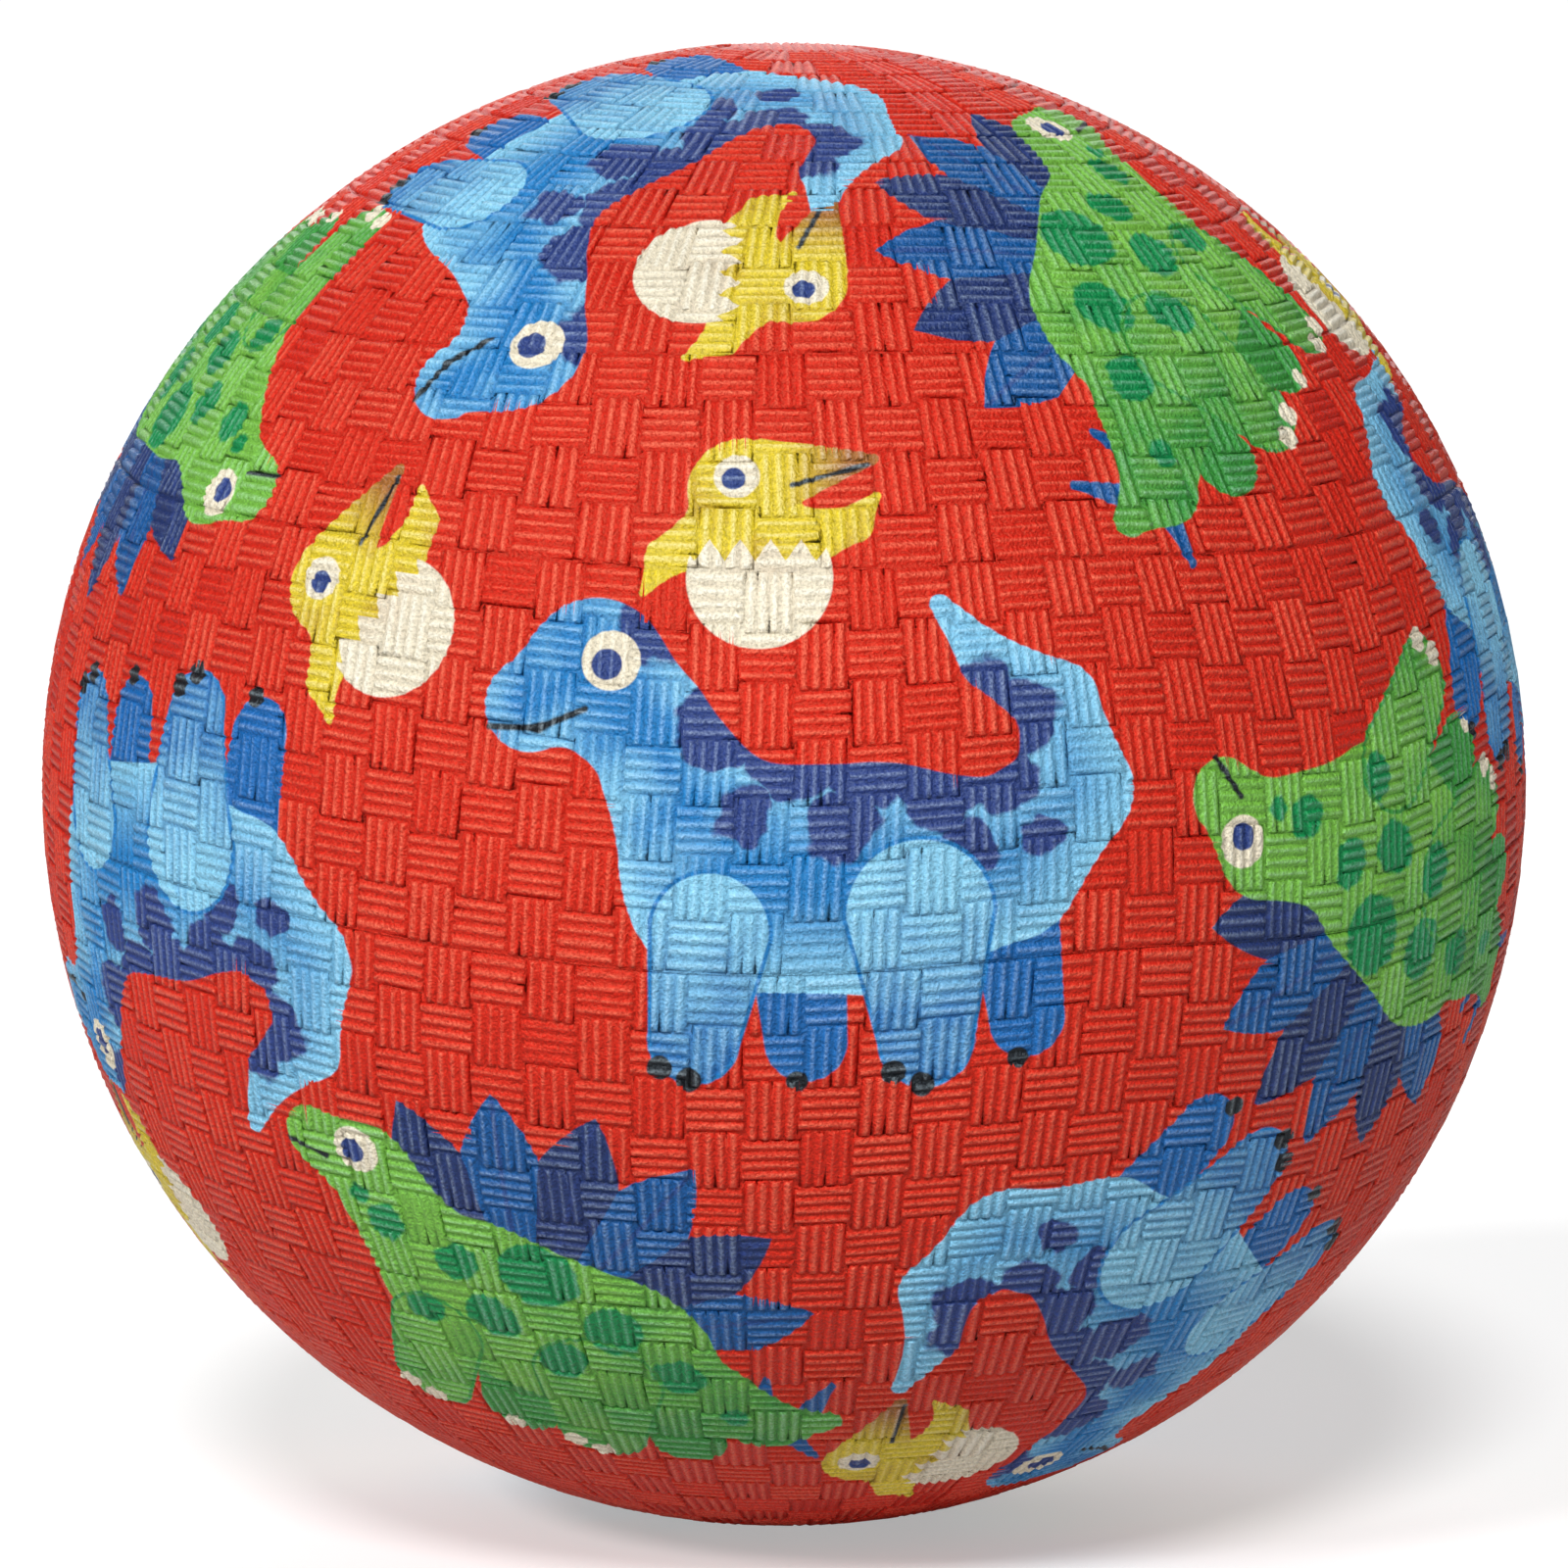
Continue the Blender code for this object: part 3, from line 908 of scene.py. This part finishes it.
def rubber_finish(graph, ink):
    """The moulded rubber under the ink: painted shade in the valleys, a painted highlight on the crests,
    crumbly grain.
    """
    where = graph.position()
    rib = graph.attribute("rib", "Fac")
    patches = graph.noise(where, PATCH_SCALE, detail=3.0)
    speck = graph.noise(where, SPECK_SCALE, detail=2.0, roughness=0.6)
    lumps = graph.noise(where, LUMP_SCALE, detail=2.0, roughness=0.55)
    # Painted shade: the colour darkens from the crests down into the valleys between the ribs, and the two
    # noises mottle it
    shade = graph.scaled(rib, *RIB_SHADE)
    shade = graph.times(shade, graph.scaled(patches, *PATCH_SHADE))
    shade = graph.times(shade, graph.scaled(speck, *SPECK_SHADE))
    grey = graph.nodes.new("ShaderNodeCombineColor")
    for socket in grey.inputs:
        graph.put(socket, shade)
    colour = graph.mix(1.0, ink, grey.outputs[0], "MULTIPLY")
    # Painted highlight: the crests pale towards a light colour, broken up by the speck noise
    crest = graph.scaled(rib, *CREST_HIGHLIGHT_RAMP, clamp=True)
    crest = graph.times(crest, graph.scaled(speck, *SPECK_HIGHLIGHT_RAMP, clamp=True))
    # Painted highlight: peach on the red ground and pale blue on every other ink. The same colour tints the
    # real specular
    printed = graph.vector("DISTANCE", ink, RED[:3])
    highlight_tint = graph.mix(graph.times(printed, INK_CONTRAST, clamp=True), HIGHLIGHT_PEACH, HIGHLIGHT_PALE_BLUE)
    highlight_amount = graph.times(crest, HIGHLIGHT_SHARE)
    colour = graph.mix(highlight_amount, colour, graph.mix(HIGHLIGHT_PALENESS, ink, highlight_tint))
    graph.to_shader("Base Color", colour)
    graph.to_shader("Roughness", graph.scaled(speck, SPECK_ROUGHNESS, SMOOTHEST))
    graph.to_shader("Specular IOR Level", graph.scaled(crest, 1.0, 0.5))
    graph.to_shader("Specular Tint", highlight_tint)
    grain = graph.scaled(speck, SPECK_BUMP, graph.times(lumps, LUMP_BUMP))
    graph.to_shader("Normal", graph.bump(grain, distance=1.0))


def eye(graph, place, under, x, y, size):
    """A cream eye with a dark pupil, on the colours below it."""
    colour = graph.paint(graph.disc(place, x, y, size), under, CREAM)
    pupil = graph.disc(place, x - PUPIL_LEFT * size, y - PUPIL_DOWN * size, PUPIL_SIZE * size)
    return graph.paint(pupil, colour, NAVY)


def outlined(graph, shape, under, over, line):
    """Lays a shape on the colours below it, with a thin darker line round it."""
    colour = graph.paint(shape, under, line)
    return graph.paint(graph.math("ADD", shape, OUTLINE_WIDTH), colour, over)


def mouth(graph, place, under, path):
    return graph.paint(graph.limb(place, path), under, INK, softness=0.3)


def tone(graph, place, gain, base, slope=(0, 0, 0)):
    """0 to 1: the print's airbrushed shading that drifts and rises along slope, with painted shade that
    deepens it between the ribs.
    """
    patchy = graph.noise(place, INK_SCALE, detail=3.0)
    # Painted shade: the tone deepens towards the valleys between the ribs
    groove_shade = graph.scaled(graph.attribute("rib", "Fac"), GROOVE_SHADE_GAIN, base + GROOVE_SHADE_BASE)
    drift = graph.scaled(patchy, gain, groove_shade)
    return graph.math("ADD", drift, graph.vector("DOT_PRODUCT", place, slope), clamp=True)


def blue_dinosaur(graph, place):
    colour = graph.paint(graph.limbs(place, BLUE_FAR_LEGS), RED, DEEP_BLUE)
    body = graph.limbs(place, (BLUE_NECK, BLUE_TRUNK), BODY_BLEND)
    shading = tone(graph, place, gain=1.8, base=-1.05, slope=(-0.012, 0.016, 0))
    depth = graph.scaled(body, -EDGE_PALING, shading)
    skin = graph.mix(graph.math("ADD", depth, 0.0, clamp=True), LIGHT_BLUE, MID_BLUE)
    patches = graph.discs(graph.strayed(place, amount=5.0, scale=EDGE_SCALE), BLUE_PATCHES)
    skin = graph.paint(patches, skin, NAVY, softness=0.5)
    colour = graph.paint(body, colour, skin)
    near = graph.limbs(place, BLUE_NEAR_LEGS)
    leg_shading = tone(graph, place, gain=1.4, base=-0.95, slope=(0, -0.04, 0))
    leg_skin = graph.mix(leg_shading, LIGHT_BLUE, DEEP_BLUE)
    colour = outlined(graph, near, colour, leg_skin, MID_BLUE)
    colour = graph.paint(graph.discs(place, BLUE_NAILS), colour, INK)
    colour = mouth(graph, place, colour, BLUE_MOUTH)
    return eye(graph, place, colour, *BLUE_EYE)


def back_plates(graph, place):
    """Leaf-shaped plates in a fan: (distance outside them, which one, distance across it)."""
    from_centre = graph.vector("SUBTRACT", place, FAN_CENTRE)
    x, y = graph.split(from_centre)
    angle = graph.math("ARCTAN2", y, x)
    turn = graph.scaled(angle, 1 / FAN_STEP, -FAN_START / FAN_STEP)
    which = graph.math("FLOOR", turn)
    out = graph.vector("LENGTH", from_centre)
    middle = graph.math("SUBTRACT", graph.math("SUBTRACT", turn, which), 0.5)
    arc = graph.times(graph.times(middle, FAN_STEP), out)
    across = graph.math("ABSOLUTE", arc)
    along = graph.scaled(out, 1 / PLATE_HALF, -PLATE_MIDDLE / PLATE_HALF)
    square = graph.times(along, along)
    width = graph.scaled(square, -PLATE_WIDTH, PLATE_WIDTH)
    shape = graph.math("SUBTRACT", across, width)
    beyond = graph.math("ABSOLUTE", graph.math("SUBTRACT", which, (FAN_COUNT - 1) / 2))
    beyond = graph.scaled(beyond, PAST_FAN, -PAST_FAN * FAN_COUNT / 2)
    return graph.math("MAXIMUM", shape, beyond), which, across


def green_dinosaur(graph, place):
    plates, which, across = back_plates(graph, place)
    plate = graph.mix(graph.math("PINGPONG", which, 1.0), PLATE_BLUE, PLATE_NAVY)
    vein = graph.within(graph.math("SUBTRACT", across, VEIN_HALF), softness=0.3)
    plate = graph.mix(graph.times(vein, VEIN_DEPTH), plate, NAVY)
    plate = graph.mix(tone(graph, place, gain=1.2, base=-0.75), plate, PLATE_NAVY)
    colour = graph.paint(plates, RED, plate)
    colour = graph.paint(graph.limbs(place, GREEN_SPIKES), colour, PLATE_BLUE)
    colour = graph.paint(graph.limbs(place, GREEN_FAR_LEGS), colour, MID_GREEN)
    body = graph.limbs(place, (GREEN_TRUNK, GREEN_NECK), BODY_BLEND)
    shading = tone(graph, place, gain=1.8, base=-0.85, slope=(0.010, -0.020, 0))
    skin = graph.mix(shading, LIGHT_GREEN, MID_GREEN)
    spots = graph.discs(graph.strayed(place, amount=3.0, scale=EDGE_SCALE), GREEN_SPOTS)
    skin = graph.paint(spots, skin, SPOT_GREEN, softness=0.4)
    colour = graph.paint(body, colour, skin)
    colour = outlined(graph, graph.limbs(place, GREEN_NEAR_LEGS), colour, skin, MID_GREEN)
    colour = graph.paint(graph.discs(place, GREEN_NAILS), colour, CREAM)
    colour = mouth(graph, place, colour, GREEN_MOUTH)
    return eye(graph, place, colour, *GREEN_EYE)


def yellow_hatchling(graph, place):
    x, y = graph.split(place)
    shading = tone(graph, place, gain=2.4, base=-1.25)
    arms = graph.limbs(place, HATCHLING_ARMS)
    body = graph.union([arms, graph.limb(place, HATCHLING_BODY)], LIMB_BLEND)
    down = graph.mix(graph.times(shading, DOWN_SHADE), YOLK, OCHRE)
    colour = graph.paint(body, RED, down)
    beak = graph.mix(graph.scaled(x, *BEAK_SHADE, clamp=True), YOLK, OCHRE)
    colour = graph.paint(graph.limb(place, HATCHLING_BEAK), colour, beak)
    teeth = graph.scaled(graph.math("PINGPONG", x, EGG_TOOTH), TOOTH_SLOPE, EGG_EDGE)
    egg = graph.math("MAXIMUM", graph.disc(place, *EGG), graph.math("SUBTRACT", y, teeth))
    shell = graph.mix(graph.times(shading, SHELL_SHADE), CREAM, OCHRE)
    colour = graph.paint(egg, colour, shell)
    colour = mouth(graph, place, colour, HATCHLING_MOUTH)
    return eye(graph, place, colour, *YELLOW_EYE)


def cover_materials():
    """The plain rubber, then the three printed ones, in the order of the figures' kinds."""
    plain = Graph("cover_plain")
    rubber_finish(plain, RED)
    made = [plain.material]
    for name, figure in (("print_blue", blue_dinosaur), ("print_green", green_dinosaur),
                         ("print_yellow", yellow_hatchling)):
        graph = Graph(name)
        place = graph.attribute("print_place", "Vector")
        rubber_finish(graph, figure(graph, place))
        made.append(graph.material)
    return made


for material in cover_materials():
    for piece in (UPPER, LOWER):
        piece.data.materials.append(material)


def plain_rubber(name, colour, rough):
    """Dark moulded rubber for the pieces under the cover, with mould grain and a dusting of powder."""
    graph = Graph(name)
    where = graph.position()
    dust = graph.scaled(graph.noise(where, DUST_SCALE, detail=4.0), *DUST, clamp=True)
    graph.to_shader("Base Color", graph.mix(graph.times(dust, DUST_SHARE), colour, POWDER))
    grain = graph.noise(where, GRAIN_SCALE, detail=3.0, roughness=0.6)
    graph.to_shader("Roughness", graph.scaled(grain, 0.2, rough))
    graph.to_shader("Normal", graph.bump(grain, distance=0.08 * MM, strength=0.6))
    return graph.material


# (CAD node, material, colour, lowest roughness)
INNER_RUBBERS = (("inner_bladder", "bladder_black", linear(30, 30, 32), 0.55),
                 ("valve_housing", "housing_black", linear(36, 34, 34), 0.50),
                 ("valve_patch", "patch_grey", linear(70, 66, 62), 0.62),
                 ("valve_plug", "plug_black", linear(20, 20, 21), 0.42))
for node, name, colour, rough in INNER_RUBBERS:
    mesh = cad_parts[node].data
    mesh.materials.clear()
    mesh.materials.append(plain_rubber(name, colour, rough))

# ---- the studio

CAMERA_ELEVATION = 3.0
CAMERA_DISTANCE = 6 * BALL_RADIUS
CAMERA_LENS = 100.8
FLOOR_SIZE = 60.0
FLOOR_GREY = linear(214, 214, 214)


def sun(name, azimuth, elevation, strength, softness):
    """A sun in that direction. Its softness is the width of its disc in degrees."""
    data = bpy.data.lights.new(name, "SUN")
    data.energy = strength
    data.angle = math.radians(softness)
    light = in_scene(name, data)
    light.rotation_euler = (-direction(azimuth, elevation)).to_track_quat("-Z", "Y").to_euler()


def seen_by_camera(nodes, links, seen, otherwise):
    """One strength where the camera looks straight at it, and another as light on the ball."""
    strength = nodes.new("ShaderNodeMath")
    strength.operation = "MULTIPLY_ADD"
    links.new(nodes.new("ShaderNodeLightPath").outputs["Is Camera Ray"], strength.inputs[0])
    strength.inputs[1].default_value = seen - otherwise
    strength.inputs[2].default_value = otherwise
    return strength.outputs[0]


def plain_floor(lift):
    """A pale floor, lifted towards white for the camera only, so that it throws little light up."""
    half = FLOOR_SIZE / 2
    corners = [(x * half, y * half, -BALL_RADIUS) for x, y in ((-1, -1), (1, -1), (1, 1), (-1, 1))]
    mesh = bpy.data.meshes.new("floor")
    mesh.from_pydata(corners, [], [(0, 1, 2, 3)])
    floor = in_scene("floor", mesh)
    graph = Graph("floor")
    graph.to_shader("Base Color", FLOOR_GREY)
    graph.to_shader("Roughness", 0.9)
    graph.to_shader("Specular IOR Level", 0.0)
    graph.to_shader("Emission Color", WHITE)
    strength = seen_by_camera(graph.nodes, graph.links, seen=lift, otherwise=0.0)
    graph.to_shader("Emission Strength", strength)
    mesh.materials.append(graph.material)


def studio_world(backdrop, light):
    """Evenly white behind the ball, and much dimmer as light on it."""
    world = bpy.data.worlds.new("studio")
    world.use_nodes = True
    nodes, links = world.node_tree.nodes, world.node_tree.links
    background = nodes["Background"].inputs
    background["Color"].default_value = WHITE
    links.new(seen_by_camera(nodes, links, seen=backdrop, otherwise=light), background["Strength"])
    bpy.context.scene.world = world


def front_camera():
    data = bpy.data.cameras.new("camera")
    data.lens = CAMERA_LENS
    camera = in_scene("camera", data)
    camera.location = direction(0, CAMERA_ELEVATION) * CAMERA_DISTANCE
    camera.rotation_euler = (-camera.location).to_track_quat("-Z", "Y").to_euler()
    bpy.context.scene.camera = camera


plain_floor(lift=0.40)
studio_world(backdrop=1.05, light=0.07)
sun("key", azimuth=-5, elevation=44, strength=2.15, softness=14)
sun("side", azimuth=-42, elevation=31, strength=1.6, softness=10)
sun("front", azimuth=-2, elevation=3, strength=0.85, softness=16)
sun("back", azimuth=180, elevation=30, strength=1.4, softness=50)
front_camera()
bpy.context.scene.view_settings.view_transform = "Standard"
